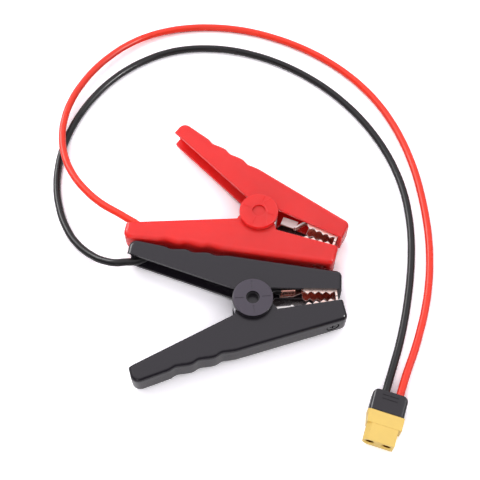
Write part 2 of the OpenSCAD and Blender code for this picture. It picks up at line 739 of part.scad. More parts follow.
// Routes of the wires, in the layout's own coordinates, from the connector to the clamp
black_floor_route = [
    [66.5, -65.5, 2.75], [70.4, -54.5, 1.99], [73.7, -43.3, 1.76], [76.4, -31.9, 1.76],
    [78.6, -20.4, 1.76], [80.2, -8.8, 1.76], [81.0, 2.8, 1.76], [80.8, 14.5, 1.76],
    [79.5, 26.1, 1.76], [76.8, 37.5, 1.76], [72.9, 48.5, 1.76], [67.8, 59.0, 1.76],
    [61.7, 68.9, 1.76], [54.5, 78.2, 1.76], [46.5, 86.7, 1.76], [37.6, 94.3, 1.76],
    [28.0, 100.9, 1.76], [17.7, 106.5, 1.77], [6.9, 110.8, 1.78], [-4.4, 113.8, 1.78],
    [-16.0, 115.1, 1.76], [-27.7, 114.7, 1.76], [-39.1, 112.1, 1.76], [-49.7, 107.3, 1.76],
    [-59.4, 100.8, 1.80], [-67.9, 92.8, 1.86], [-75.1, 83.6, 1.86], [-81.0, 73.5, 1.78],
    [-85.5, 62.7, 1.76], [-88.5, 51.4, 1.76], [-89.8, 39.8, 1.76], [-89.4, 28.2, 1.76],
    [-87.0, 16.7, 2.08], [-82.8, 5.9, 2.80], [-76.5, -3.9, 3.99], [-67.9, -11.6, 5.83],
    [-62.0, -14.9, 7.60]];
red_floor_route = [
    [72.5, -67.6, 2.83], [77.0, -56.9, 2.06], [81.0, -45.9, 1.76], [84.4, -34.7, 1.76],
    [86.9, -23.3, 1.76], [88.5, -11.7, 1.76], [89.2, -0.1, 1.76], [89.0, 11.6, 1.77],
    [88.1, 23.2, 1.79], [86.6, 34.8, 1.78], [84.2, 46.2, 1.77], [80.9, 57.5, 1.76],
    [76.6, 68.3, 1.76], [71.2, 78.7, 1.76], [64.6, 88.3, 1.76], [56.9, 97.1, 1.76],
    [48.3, 104.9, 1.78], [38.9, 111.8, 1.79], [28.8, 117.7, 1.77], [18.2, 122.5, 1.76],
    [7.1, 126.3, 1.76], [-4.3, 128.7, 1.76], [-16.0, 129.7, 1.79], [-27.6, 129.1, 2.01],
    [-39.0, 126.7, 2.39], [-49.8, 122.4, 2.93], [-59.6, 116.1, 3.61], [-68.1, 108.1, 4.32],
    [-75.4, 99.0, 4.96], [-81.3, 89.0, 5.46], [-85.8, 78.2, 5.84], [-88.3, 66.8, 6.14],
    [-88.5, 55.1, 6.38], [-86.2, 43.7, 6.67], [-81.5, 33.1, 7.11], [-74.6, 23.7, 7.71],
    [-66.2, 15.6, 8.31]];

// Each free wire meets its tail face to face, in line with it
approach = 3.5;
function straight_back(route) = route[0] - approach * unit(route[1] - route[0]);
black_pole = 1;
red_pole = -1;
black_route = concat(
    behind_cup(black_pole),
    black_floor_route,
    [from_clamp(black_at, black_turn, straight_back(black_tail_route), 1),
     from_clamp(black_at, black_turn, black_tail_route[0], 1)]);
red_route = concat(
    behind_cup(red_pole),
    red_floor_route,
    [from_clamp(red_at, red_turn, straight_back(red_tail_route), -1),
     from_clamp(red_at, red_turn, red_tail_route[0], -1)]);

function route_length(route) = len(route) < 2 ? 0
    : sum_of([for (i = [1:len(route) - 1]) norm(route[i] - route[i - 1])]);
function sum_of(list, i = 0) = i == len(list) ? 0 : list[i] + sum_of(list, i + 1);
echo(black_wire_length = route_length(black_route), red_wire_length = route_length(red_route));

module free_wire(route) {
    translate([-origin.x, -origin.y, 0]) swept_tube(route, wire_r, 8);
}

// ---------- sub-parts ----------

module black_wired_lever() { color(black_plastic) in_black() lever_shell(); }
module black_free_lever() { color(black_plastic) in_black() other_side() lever_shell(); }
module black_pivot_pin() { color(black_plastic) in_black() other_side() pivot_pin(); }
module black_spring() { color(steel) in_black() torsion_spring(); }
module black_wired_jaw() { color(copper) in_black() jaw(true); }
module black_free_jaw() { color(copper) in_black() other_side() jaw(false); }
module black_wired_jaw_screw() { color(black_plastic) in_black() jaw_screw(); }
module black_free_jaw_screw() { color(black_plastic) in_black() other_side() jaw_screw(); }
module black_crimp() { color(copper) in_black() crimp_barrel(); }
module black_wire_tail() { color(black_plastic) in_black() wire_tail(black_tail_route); }
module black_wire() { color(black_plastic) free_wire(black_route); }

module red_wired_lever() { color(red_plastic) in_red() other_side() lever_shell(); }
module red_free_lever() { color(red_plastic) in_red() lever_shell(); }
module red_pivot_pin() { color(red_plastic) in_red() pivot_pin(); }
module red_spring() { color(steel) in_red() torsion_spring(); }
module red_wired_jaw() { color(copper) in_red() other_side() jaw(true); }
module red_free_jaw() { color(copper) in_red() jaw(false); }
module red_wired_jaw_screw() { color(red_plastic) in_red() other_side() jaw_screw(); }
module red_free_jaw_screw() { color(red_plastic) in_red() jaw_screw(); }
module red_crimp() { color(copper) in_red() other_side() crimp_barrel(); }
module red_wire_tail() { color(red_plastic) in_red() other_side() wire_tail(red_tail_route); }
module red_wire() { color(red_plastic) free_wire(red_route); }

module connector_housing() { color(yellow_plastic) at_plug() housing(); }
module connector_cover() { color(black_plastic) at_plug() cover(); }
module positive_contact() { color(gold) at_plug() contact(red_pole); }
module negative_contact() { color(gold) at_plug() contact(black_pole); }

black_wired_lever();
black_free_lever();
black_pivot_pin();
black_spring();
black_wired_jaw();
black_free_jaw();
black_wired_jaw_screw();
black_free_jaw_screw();
black_crimp();
black_wire_tail();
black_wire();
red_wired_lever();
red_free_lever();
red_pivot_pin();
red_spring();
red_wired_jaw();
red_free_jaw();
red_wired_jaw_screw();
red_free_jaw_screw();
red_crimp();
red_wire_tail();
red_wire();
connector_housing();
connector_cover();
positive_contact();
negative_contact();
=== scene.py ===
"""Dresses the jumper clamp lead: two moulded battery clamps, two silicone wires and a
two-pole bullet connector, in metres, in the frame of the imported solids."""

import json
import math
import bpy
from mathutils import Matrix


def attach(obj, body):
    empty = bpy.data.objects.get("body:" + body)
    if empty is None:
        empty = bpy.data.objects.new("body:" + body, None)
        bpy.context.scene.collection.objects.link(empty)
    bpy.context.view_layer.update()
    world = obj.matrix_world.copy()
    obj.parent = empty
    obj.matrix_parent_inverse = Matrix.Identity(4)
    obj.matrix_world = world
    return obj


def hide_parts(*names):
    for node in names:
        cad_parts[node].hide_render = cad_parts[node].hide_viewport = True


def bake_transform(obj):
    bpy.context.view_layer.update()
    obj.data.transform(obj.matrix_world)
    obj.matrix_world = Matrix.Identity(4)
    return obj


bl_info = {
    "name": "Jumper Clamp Lead",
    "version": (1, 0, 0),
    "blender": (4, 5, 0),
    "location": "View3D > Sidebar > Clamp Lead",
    "description": "Builds the looks of a two-clamp jumper lead around its packed solids",
    "category": "Object",
}

import bmesh
import bpy
from bpy.props import FloatProperty, FloatVectorProperty, IntProperty, PointerProperty
from bpy.types import Operator, Panel, PropertyGroup
from mathutils import Matrix, Vector

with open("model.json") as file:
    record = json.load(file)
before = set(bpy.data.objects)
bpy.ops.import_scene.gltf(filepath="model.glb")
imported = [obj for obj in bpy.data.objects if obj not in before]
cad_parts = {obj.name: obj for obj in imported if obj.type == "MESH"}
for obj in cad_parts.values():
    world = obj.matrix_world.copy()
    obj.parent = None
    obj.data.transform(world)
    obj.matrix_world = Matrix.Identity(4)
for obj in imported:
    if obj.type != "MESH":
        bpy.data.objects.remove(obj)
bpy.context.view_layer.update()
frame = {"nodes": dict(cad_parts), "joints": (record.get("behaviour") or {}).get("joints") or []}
hinges = {joint["child"]: joint for joint in frame["joints"]}

MM = 0.001
LEAD = "lead"

# ---------- places and routes, in millimetres and degrees ----------

# Where each clamp's pivot is, how far the clamp is turned, and on which side its wire runs
CLAMPS = {
    "black": {"turn": 4, "wire_side": 1, "grip": "black_free_grip"},
    "red": {"turn": -22, "wire_side": -1, "grip": "red_free_grip"},
}

# The connector's front end, its direction, and what lies behind its front end
PLUG_AT = (58.97448, -89.71185)
PLUG_TURN = 71.5
POLE_Z = 4.05
POLE_PITCH = 7.2
EXIT_PITCH = 6.2
EXIT_SHIFT = 0.8
CUP_BACK = (16, 17.5)
EXIT_BACK = (21.15, 23)
POLES = {"black": 1, "red": -1}

# The wires' routes on the floor, from the layout's own origin
LAYOUT_ORIGIN = (-1.52448, -9.18815)
FLOOR_ROUTES = {
    "black": [
        (66.5, -65.5, 2.75), (70.4, -54.5, 1.99), (73.7, -43.3, 1.76), (76.4, -31.9, 1.76),
        (78.6, -20.4, 1.76), (80.2, -8.8, 1.76), (81.0, 2.8, 1.76), (80.8, 14.5, 1.76),
        (79.5, 26.1, 1.76), (76.8, 37.5, 1.76), (72.9, 48.5, 1.76), (67.8, 59.0, 1.76),
        (61.7, 68.9, 1.76), (54.5, 78.2, 1.76), (46.5, 86.7, 1.76), (37.6, 94.3, 1.76),
        (28.0, 100.9, 1.76), (17.7, 106.5, 1.77), (6.9, 110.8, 1.78), (-4.4, 113.8, 1.78),
        (-16.0, 115.1, 1.76), (-27.7, 114.7, 1.76), (-39.1, 112.1, 1.76),
        (-49.7, 107.3, 1.76), (-59.4, 100.8, 1.80), (-67.9, 92.8, 1.86),
        (-75.1, 83.6, 1.86), (-81.0, 73.5, 1.78), (-85.5, 62.7, 1.76), (-88.5, 51.4, 1.76),
        (-89.8, 39.8, 1.76), (-89.4, 28.2, 1.76), (-87.0, 16.7, 2.08), (-82.8, 5.9, 2.80),
        (-76.5, -3.9, 3.99), (-67.9, -11.6, 5.83), (-62.0, -14.9, 7.60),
    ],
    "red": [
        (72.5, -67.6, 2.83), (77.0, -56.9, 2.06), (81.0, -45.9, 1.76), (84.4, -34.7, 1.76),
        (86.9, -23.3, 1.76), (88.5, -11.7, 1.76), (89.2, -0.1, 1.76), (89.0, 11.6, 1.77),
        (88.1, 23.2, 1.79), (86.6, 34.8, 1.78), (84.2, 46.2, 1.77), (80.9, 57.5, 1.76),
        (76.6, 68.3, 1.76), (71.2, 78.7, 1.76), (64.6, 88.3, 1.76), (56.9, 97.1, 1.76),
        (48.3, 104.9, 1.78), (38.9, 111.8, 1.79), (28.8, 117.7, 1.77), (18.2, 122.5, 1.76),
        (7.1, 126.3, 1.76), (-4.3, 128.7, 1.76), (-16.0, 129.7, 1.79), (-27.6, 129.1, 2.01),
        (-39.0, 126.7, 2.39), (-49.8, 122.4, 2.93), (-59.6, 116.1, 3.61),
        (-68.1, 108.1, 4.32), (-75.4, 99.0, 4.96), (-81.3, 89.0, 5.46), (-85.8, 78.2, 5.84),
        (-88.3, 66.8, 6.14), (-88.5, 55.1, 6.38), (-86.2, 43.7, 6.67), (-81.5, 33.1, 7.11),
        (-74.6, 23.7, 7.71), (-66.2, 15.6, 8.31),
    ],
}

# The wires' last stretch inside the levers, in the clamp's own frame, how far each wire
# runs straight before it, and where the bare strands end
TAIL_STARTS = {"black": [(-57, 25.5), (-51, 25.6), (-44.5, 27.5)],
               "red": [(-58, 22.3), (-52, 23.5), (-45, 26.2)]}
LEVER_ROUTE = [(-36, 24.6), (-24, 20.8), (-12, 16.5), (-3, 13.2), (4, 11.2), (8.8, 8.2),
               (11.6, 6.3), (13.3, 6)]
APPROACH = 3.5
CORE_END = 19.6

# The torsion spring: mean radius, pitch, whole sweep, sweep of one step, sides of its
# wire, leg length and leg direction
COIL_RADIUS = 7.9
COIL_PITCH = 2.6
COIL_SWEEP = 846
COIL_STEP = 9
COIL_SIDES = 14
LEG_LENGTH = 26
LEG_DIRECTION = 153

# ---------- how pieces are finished ----------

# The soft edges of the small pieces, in millimetres
PIN_EDGE = 0.25
SCREW_EDGE = 0.12
CONTACT_EDGE = 0.08

# How near a node's corners merge, in millimetres, and up to how many degrees between
# them its faces count as flat
MERGE_WITHIN = 0.002
FLAT_WITHIN = 0.3

# Degrees from which an edge is shaded sharp, on most pieces and on the shells, and from
# which it is rounded
SHARP_FROM = 30
SHELL_SHARP_FROM = 28
ROUND_FROM = 35

# Heights above and below the pivot, as shares of a piece's half height, of the shells'
# disc faces and of the jaws' inner and outer level faces, and how level a face has to be
DISC_FACES = (0.97, 1.01)
INNER_FACES = (0, 0.4)
OUTER_FACES = (0.4, 1.01)
LEVEL_FROM = 0.9

# Steps round a wire, and between two points of its route
WIRE_ROUND_STEPS = 6
WIRE_ROUTE_STEPS = 8

# ---------- camera and stage, in metres and degrees ----------

CAMERA_AT = (0.001524, -0.184702, 0.36466)
CAMERA_TILT = 28
CAMERA_LENS = 65.25
CAMERA_SENSOR = 36
CAMERA_CLIP = (0.02, 20)

# The floor: its own colour, what the camera sees on top of that, the dark painted shade it
# shows in closed-in places, and its colour far away, which only reflections show
FLOOR_SIZE = 3
FLOOR_COLOUR = (0.82, 0.815, 0.82, 1)
FLOOR_LIFT = (0.54, 0.53, 0.55, 1)
FLOOR_PAINTED_SHADE = (0.06, 0.05, 0.05, 1)
FLOOR_FAR = (0.12, 0.12, 0.12, 1)
FAR_FROM_TO = (0.16, 0.4)

# How closed in a place is, within this reach, from wholly closed to open, which sets
# where the floor shows its painted shade
CLOSED_REACH = 0.03
CLOSED_FROM_TO = (0.19, 0.3)
CLOSED_SAMPLES = 16

# The sky: where it is brightest, how near to that it starts and ends to brighten, and its
# dimmest and brightest levels
SKY_COLOUR = (1, 0.97, 1.025, 1)
SKY_TOWARD = (-0.06, 0.45, 0.89)
SKY_FROM_TO = (0.12, 0.84)
SKY_LEVELS = (0.06, 1.25)

# Each lamp's name, place, width, power, and whether it shows only as a reflection
LAMPS = (
    ("key_lamp", (-0.35, 0.55, 0.95), 0.6, 2.6, False),
    ("front_fill", (-0.2, -0.85, 0.55), 0.8, 5.5, False),
    ("glint_lamp", (0.8, -0.22, 0.65), 0.18, 10.0, True),
    ("side_glint", (-0.75, 0.55, 0.6), 0.6, 6.5, True),
    ("front_glint", (-0.25, -0.85, 0.4), 0.2, 0.6, True),
)


# ---------- settings ----------

def colour_setting(name, description, value):
    """A colour that the panel shows."""
    return FloatVectorProperty(name=name, description=description, subtype="COLOR", size=3,
                               min=0, max=1, default=value)


class ClampLeadSizes(PropertyGroup):
    """The lead's sizes that may be changed"""

    wire_thickness: FloatProperty(
        name="Wire Thickness", description="Outer diameter of the silicone wires",
        default=3.5 * MM, min=2 * MM, max=6 * MM, unit="LENGTH", precision=4)
    core_thickness: FloatProperty(
        name="Core Thickness", description="Diameter of the bare strands in the crimp",
        default=2.4 * MM, min=1 * MM, max=3 * MM, unit="LENGTH", precision=4)
    spring_wire: FloatProperty(
        name="Spring Wire", description="Wire diameter of the torsion springs",
        default=1.6 * MM, min=0.8 * MM, max=2 * MM, unit="LENGTH", precision=4)
    shell_edge: FloatProperty(
        name="Shell Edge", description="Width of the soft edge on the moulded shells",
        default=0.22 * MM, min=0, max=0.5 * MM, unit="LENGTH", precision=5)
    # On the jaws this soft edge carries the near-white painted highlight
    jaw_edge: FloatProperty(
        name="Jaw Edge", description="Width of the burnished edge on the stamped jaws",
        default=0.2 * MM, min=0, max=0.3 * MM, unit="LENGTH", precision=5)
    connector_edge: FloatProperty(
        name="Connector Edge", description="Width of the soft edge on the connector",
        default=0.35 * MM, min=0, max=0.6 * MM, unit="LENGTH", precision=5)
    edge_steps: IntProperty(
        name="Edge Steps", description="Faces across each soft edge",
        default=3, min=1, max=6)


class ClampLeadColours(PropertyGroup):
    """The lead's colours that may be changed"""

    red_plastic: colour_setting("Red Plastic", "Red clamp shells", (0.83, 0.03, 0.027))
    black_plastic: colour_setting("Black Plastic", "Black clamp shells and cover",
                                  (0.0108, 0.0088, 0.0125))
    red_wire: colour_setting("Red Wire", "Red silicone insulation", (0.93, 0.035, 0.012))
    black_wire: colour_setting("Black Wire", "Black silicone insulation",
                               (0.007, 0.0067, 0.007))
    yellow_plastic: colour_setting("Yellow Plastic", "Connector housing",
                                   (0.758, 0.522, 0.118))
    # Darker than the plating's own colour: painted shade for the jaws' walls and inner faces
    plating: colour_setting("Copper Plating", "Stamped jaws and crimps",
                            (0.74, 0.38, 0.31))
    steel: colour_setting("Spring Steel", "Springs and screws", (0.60, 0.60, 0.62))
    # Darker and browner than gilt: painted shade for the contacts in their socket holes
    gilt: colour_setting("Gilt", "Connector contacts", (0.60, 0.26, 0.04))


def sizes():
    return bpy.context.scene.clamp_lead_sizes


def colours():
    return bpy.context.scene.clamp_lead_colours


# ---------- shader groups ----------

def add_node(tree, kind, values=None, **settings):
    """A node with its settings made and its sockets' values written."""
    node = tree.nodes.new(kind)
    for name, value in settings.items():
        setattr(node, name, value)
    for name, value in (values or {}).items():
        node.inputs[name].default_value = value
    return node


def new_group(name, inputs, outputs):
    """A shader group with its named sockets, and its two end nodes."""
    tree = bpy.data.node_groups.new(name, "ShaderNodeTree")
    for label, kind, value in inputs:
        socket = tree.interface.new_socket(label, in_out="INPUT", socket_type=kind)
        if value is not None:
            socket.default_value = value
    for label, kind in outputs:
        tree.interface.new_socket(label, in_out="OUTPUT", socket_type=kind)
    return tree, tree.nodes.new("NodeGroupInput"), tree.nodes.new("NodeGroupOutput")


def noise(tree, vector, scale, detail, roughness=0.5):
    """Noise over the vector; the scale is a socket."""
    node = add_node(tree, "ShaderNodeTexNoise", {"Detail": detail, "Roughness": roughness})
    tree.links.new(vector, node.inputs["Vector"])
    tree.links.new(scale, node.inputs["Scale"])
    return node.outputs["Fac"]


def spread(tree, value, low, high, out_low=0.0, out_high=1.0):
    """The value taken from low..high to out_low..out_high, which may be sockets."""
    node = add_node(tree, "ShaderNodeMapRange", {"From Min": low, "From Max": high},
                    interpolation_type="SMOOTHSTEP")
    tree.links.new(value, node.inputs["Value"])
    for name, wanted in (("To Min", out_low), ("To Max", out_high)):
        if isinstance(wanted, (int, float)):
            node.inputs[name].default_value = wanted
        else:
            tree.links.new(wanted, node.inputs[name])
    return node.outputs["Result"]


def blended(tree, factor, first, second):
    """A colour between two colour sockets."""
    node = add_node(tree, "ShaderNodeMix", data_type="RGBA")
    tree.links.new(factor, node.inputs["Factor"])
    tree.links.new(first, node.inputs["A"])
    tree.links.new(second, node.inputs["B"])
    return node.outputs["Result"]


SURFACE_INPUTS = [
    ("Vector", "NodeSocketVector", None),
    ("Colour", "NodeSocketColor", (0.5, 0.5, 0.5, 1)),
    ("Shade", "NodeSocketColor", (0.4, 0.4, 0.4, 1)),
    ("Patch Scale", "NodeSocketFloat", 60.0),
    ("Grain Scale", "NodeSocketFloat", 3000.0),
    ("Gloss Low", "NodeSocketFloat", 0.3),
    ("Gloss High", "NodeSocketFloat", 0.5),
]
SURFACE_OUTPUTS = [("Colour", "NodeSocketColor"), ("Roughness", "NodeSocketFloat"),
                   ("Height", "NodeSocketFloat")]


def moulding_grain():
    """Spark-eroded grain with faint flow patches, for moulded plastic and silicone."""
    tree, ends, out = new_group("Moulding Grain", SURFACE_INPUTS, SURFACE_OUTPUTS)
    give = ends.outputs
    patches = noise(tree, give["Vector"], give["Patch Scale"], 3.0)
    grain = noise(tree, give["Vector"], give["Grain Scale"], 2.0, 0.6)
    colour = blended(tree, spread(tree, patches, 0.35, 0.75), give["Colour"], give["Shade"])
    gloss = spread(tree, patches, 0.3, 0.7, give["Gloss Low"], give["Gloss High"])
    tree.links.new(colour, out.inputs["Colour"])
    tree.links.new(gloss, out.inputs["Roughness"])
    tree.links.new(grain, out.inputs["Height"])
    return tree


def worked_metal():
    """Rolling streaks and dull specks, for stamped, drawn and turned metal."""
    tree, ends, out = new_group("Worked Metal", SURFACE_INPUTS, SURFACE_OUTPUTS)
    give = ends.outputs
    along = add_node(tree, "ShaderNodeMapping", {"Scale": (0.12, 1.0, 1.0)})
    tree.links.new(give["Vector"], along.inputs["Vector"])
    streaks = noise(tree, along.outputs["Vector"], give["Grain Scale"], 3.0, 0.6)
    patches = noise(tree, give["Vector"], give["Patch Scale"], 4.0, 0.6)
    colour = blended(tree, spread(tree, patches, 0.45, 0.8), give["Colour"], give["Shade"])
    gloss = spread(tree, patches, 0.3, 0.7, give["Gloss Low"], give["Gloss High"])
    tree.links.new(colour, out.inputs["Colour"])
    tree.links.new(gloss, out.inputs["Roughness"])
    tree.links.new(streaks, out.inputs["Height"])
    return tree


def shared_group(name):
    """The named shader group, built the first time it is asked for."""
    made = bpy.data.node_groups.get(name)
    return made or {"Moulding Grain": moulding_grain, "Worked Metal": worked_metal}[name]()


def finish_material(name, group, colour, shade, scales, gloss, bump, **shader):
    """A Principled material whose colour, roughness and relief come from a shared group.

    scales are the group's patch and grain scales, gloss its lowest and highest roughness,
    and bump the relief's strength and depth."""
    made = bpy.data.materials.get(name)
    if made:
        return made
    made = bpy.data.materials.new(name)
    made.use_nodes = True
    tree = made.node_tree
    bsdf = tree.nodes["Principled BSDF"]
    for socket, value in shader.items():
        bsdf.inputs[socket.replace("_", " ")].default_value = value
    coords = tree.nodes.new("ShaderNodeTexCoord")
    surface = add_node(tree, "ShaderNodeGroup", node_tree=shared_group(group))
    tree.links.new(coords.outputs["Object"], surface.inputs["Vector"])
    given = {"Colour": (*colour, 1), "Shade": (*shade, 1), "Patch Scale": scales[0],
             "Grain Scale": scales[1], "Gloss Low": gloss[0], "Gloss High": gloss[1]}
    for socket, value in given.items():
        surface.inputs[socket].default_value = value
    relief = add_node(tree, "ShaderNodeBump", {"Strength": bump[0], "Distance": bump[1]})
    tree.links.new(surface.outputs["Height"], relief.inputs["Height"])
    tree.links.new(surface.outputs["Colour"], bsdf.inputs["Base Color"])
    tree.links.new(surface.outputs["Roughness"], bsdf.inputs["Roughness"])
    tree.links.new(relief.outputs["Normal"], bsdf.inputs["Normal"])
    made.diffuse_color = (*colour, 1)
    return made


def shaded(colour, share):
    """A colour times a share."""
    return tuple(share * part for part in colour)


# ---------- materials ----------

# What sets the two plastics apart: black hides all light, and red lets some through
PLASTICS = {
    "black": {"IOR": 1.5},
    "red": {"IOR": 1.4, "Subsurface_Weight": 0.8, "Subsurface_Scale": 6 * MM,
            "Subsurface_Radius": (1, 0.06, 0.05)},
}

# How much lighter or darker the discs are than the levers
DISC_SHADES = {"black": 4.5, "red": 0.96}


def clamp_plastic(name):
    """The clamps' moulded plastic, red or black."""
    base = getattr(colours(), f"{name}_plastic")
    return finish_material(f"{name}_moulded_plastic", "Moulding Grain", base,
                           shaded(base, 0.93), scales=(45, 2600), gloss=(0.2, 0.27),
                           bump=(0.12, 0.04 * MM), **PLASTICS[name])


def disc_plastic(name):
    """The pivot discs, a little duller than the levers, and lighter (black) or a little darker
    (red).
    """
    base = shaded(getattr(colours(), f"{name}_plastic"), DISC_SHADES[name])
    return finish_material(f"{name}_disc_plastic", "Moulding Grain", base,
                           shaded(base, 0.93), scales=(45, 2600), gloss=(0.24, 0.32),
                           bump=(0.12, 0.04 * MM), **PLASTICS[name])


def wire_silicone(name):
    """Smooth silicone, which shows a soft streak of light along the wire."""
    base = getattr(colours(), f"{name}_wire")
    return finish_material(f"{name}_silicone", "Moulding Grain", base, shaded(base, 0.9),
                           scales=(70, 3500), gloss=(0.26, 0.36), bump=(0.1, 0.04 * MM),
                           IOR=1.43)


def yellow_nylon():
    """The connector's dull moulded housing."""
    base = colours().yellow_plastic
    return finish_material("yellow_nylon", "Moulding Grain", base, shaded(base, 0.95),
                           scales=(90, 2800), gloss=(0.32, 0.42), bump=(0.1, 0.05 * MM),
                           IOR=1.53)


def copper_plating():
    """Rolled sheet with a copper plating, with redder patches, its colour darkened below the
    plating's own as painted shade for the jaws' walls and inner faces.
    """
    base = colours().plating
    return finish_material("copper_plating", "Worked Metal", base,
                           (base[0] * 0.92, base[1] * 0.8, base[2] * 0.74),
                           scales=(160, 4200), gloss=(0.2, 0.34), bump=(0.15, 0.03 * MM),
                           Metallic=1.0)


def bare_edge():
    """Near-white metal: a painted highlight on the jaws' soft edges and on their inner level
    faces.
    """
    return finish_material("bare_edge", "Worked Metal", (0.98, 0.95, 0.92),
                           (0.97, 0.90, 0.85), scales=(260, 4200), gloss=(0.28, 0.4),
                           bump=(0.08, 0.02 * MM), Metallic=0.15)


def rolled_face():
    """Pink metal: a painted sheen on the jaws' outer level faces."""
    return finish_material("rolled_face", "Worked Metal", (0.90, 0.68, 0.60),
                           (0.84, 0.58, 0.50), scales=(260, 4200), gloss=(0.24, 0.36),
                           bump=(0.1, 0.02 * MM), Metallic=0.7)


def spring_steel():
    """Bright drawn steel wire."""
    base = colours().steel
    return finish_material("spring_steel", "Worked Metal", base, shaded(base, 0.8),
                           scales=(180, 5200), gloss=(0.22, 0.38), bump=(0.15, 0.03 * MM),
                           Metallic=1.0)


def gilt_metal():
    """The turned contacts' thin gilt, its colour darkened to brown as painted shade inside the
    socket holes.
    """
    base = colours().gilt
    return finish_material("gilt_metal", "Worked Metal", base, shaded(base, 0.85),
                           scales=(200, 5200), gloss=(0.18, 0.3), bump=(0.1, 0.02 * MM),
                           Metallic=1.0)


# ---------- making pieces ----------

def place_of(clamp):
    """A clamp's own frame: the pivot is the origin and +X points to the jaws."""
    pivot = Vector(hinges[CLAMPS[clamp]["grip"]]["pos_m"])
    turn = math.radians(CLAMPS[clamp]["turn"])
    return Matrix.Translation(pivot) @ Matrix.Rotation(turn, 4, "Z")


def piece_from(bm, name):
    """An object at the origin that holds the finished bmesh."""
    mesh = bpy.data.meshes.new(name)
    bm.to_mesh(mesh)
    bm.free()
    if "custom_normal" in mesh.attributes:
        mesh.attributes.remove(mesh.attributes["custom_normal"])
    piece = bpy.data.objects.new(name, mesh)
    bpy.context.scene.collection.objects.link(piece)
    return piece


def smooth(piece, sharp_from):
    """Smooth shading, with edges above the angle left sharp."""
    for face in piece.data.polygons:
        face.use_smooth = True
    piece.data.set_sharp_from_angle(angle=math.radians(sharp_from))


def soft_edges(piece, width, edge_material):
    """Rounds every sharp edge, and keeps the flats flat."""
    bevel = piece.modifiers.new("Soft Edges", "BEVEL")
    bevel.width = width
    bevel.segments = sizes().edge_steps
    bevel.limit_method = "ANGLE"
    bevel.angle_limit = math.radians(ROUND_FROM)
    bevel.material = edge_material
    bevel.miter_outer = "MITER_ARC"
    level = piece.modifiers.new("Level Flats", "WEIGHTED_NORMAL")
    level.weight = 100
    level.keep_sharp = True


def cleaned_bmesh(node):
    """A node's triangles, merged into one skin with its flat areas made whole.

    Areas with more than four corners, which may be concave, are cut up again, evenly."""
    bm = bmesh.new()
    bm.from_mesh(frame["nodes"][node].data)
    bmesh.ops.remove_doubles(bm, verts=bm.verts, dist=MERGE_WITHIN * MM)
    bmesh.ops.dissolve_limit(bm, angle_limit=math.radians(FLAT_WITHIN), verts=bm.verts,
                             edges=bm.edges, use_dissolve_boundaries=False)
    many_sided = [face for face in bm.faces if len(face.verts) > 4]
    bmesh.ops.triangulate(bm, faces=many_sided, quad_method="BEAUTY", ngon_method="BEAUTY")
    return bm


def level_faces(piece, clamp, shares, finish):
    """Gives a finish to the level outward faces between two shares of the half height."""
    inner, outer = shares
    middle = hinges[CLAMPS[clamp]["grip"]]["pos_m"][2]
    half = max(abs(vertex.co.z - middle) for vertex in piece.data.vertices)
    for face in piece.data.polygons:
        share = (face.center.z - middle) / half * math.copysign(1, face.normal.z)
        if abs(face.normal.z) > LEVEL_FROM and inner < share <= outer:
            face.material_index = finish


def dressed(node, name, materials, edge, body, sharp_from=SHARP_FROM,
            edge_material=-1):
    """A finished copy of a CAD node with soft edges, riding on the node's body."""
    piece = piece_from(cleaned_bmesh(node), name)
    piece.data.materials.clear()
    for material in materials:
        piece.data.materials.append(material)
    smooth(piece, sharp_from)
    if edge > 0:
        soft_edges(piece, edge, edge_material)
    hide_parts(node)
    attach(piece, body)
    return piece


def smooth_line(name, points, thickness, material):
    """A round cord along one smooth spline through the points."""
    curve = bpy.data.curves.new(name, "CURVE")
    curve.dimensions = "3D"
    curve.bevel_depth = thickness / 2
    curve.bevel_resolution = WIRE_ROUND_STEPS
    curve.resolution_u = WIRE_ROUTE_STEPS
    curve.use_fill_caps = True
    spline = curve.splines.new("BEZIER")
    spline.bezier_points.add(len(points) - 1)
    for knot, point in zip(spline.bezier_points, points):
        knot.co = point
        knot.handle_left_type = knot.handle_right_type = "AUTO"
    curve.materials.append(material)
    piece = bpy.data.objects.new(name, curve)
    bpy.context.scene.collection.objects.link(piece)
    return piece


# ---------- the wires' routes ----------

def in_plug(back, across):
    """A point of a wire in the connector, so far behind its front end."""
    turned = Matrix.Rotation(math.radians(PLUG_TURN), 2) @ Vector((back, across))
    return Vector((PLUG_AT[0] + turned.x, PLUG_AT[1] + turned.y, POLE_Z)) * MM


def tail_points(clamp):
    """A wire's points inside its lever."""
    side = CLAMPS[clamp]["wire_side"]
    place = place_of(clamp)
    return [place @ (Vector((x, side * y, 0)) * MM)
            for x, y in TAIL_STARTS[clamp] + LEVER_ROUTE]


def wire_points(clamp):
    """A free wire's points, from the connector's cup to its lever."""
    side = POLES[clamp]
    tail = tail_points(clamp)
    straight = tail[0] + (tail[0] - tail[1]).normalized() * APPROACH * MM
    floor = [Vector((x - LAYOUT_ORIGIN[0], y - LAYOUT_ORIGIN[1], z)) * MM
             for x, y, z in FLOOR_ROUTES[clamp]]
    return [*(in_plug(back, side * POLE_PITCH / 2) for back in CUP_BACK),
            *(in_plug(back, side * EXIT_PITCH / 2 - EXIT_SHIFT) for back in EXIT_BACK),
            *floor, straight, tail[0]]


# ---------- operators ----------

class CLAMPLEAD_OT_camera(Operator):
    """Places the camera above the front of the lead"""

    bl_idname = "clamp_lead.camera"
    bl_label = "Camera"

    def execute(self, context):
        data = bpy.data.cameras.new("lead_camera")
        data.lens = CAMERA_LENS
        data.sensor_width = CAMERA_SENSOR
        data.clip_start, data.clip_end = CAMERA_CLIP
        camera = bpy.data.objects.new("lead_camera", data)
        camera.location = CAMERA_AT
        camera.rotation_euler = (math.radians(CAMERA_TILT), 0, 0)
        context.scene.collection.objects.link(camera)
        context.scene.camera = camera
        return {"FINISHED"}


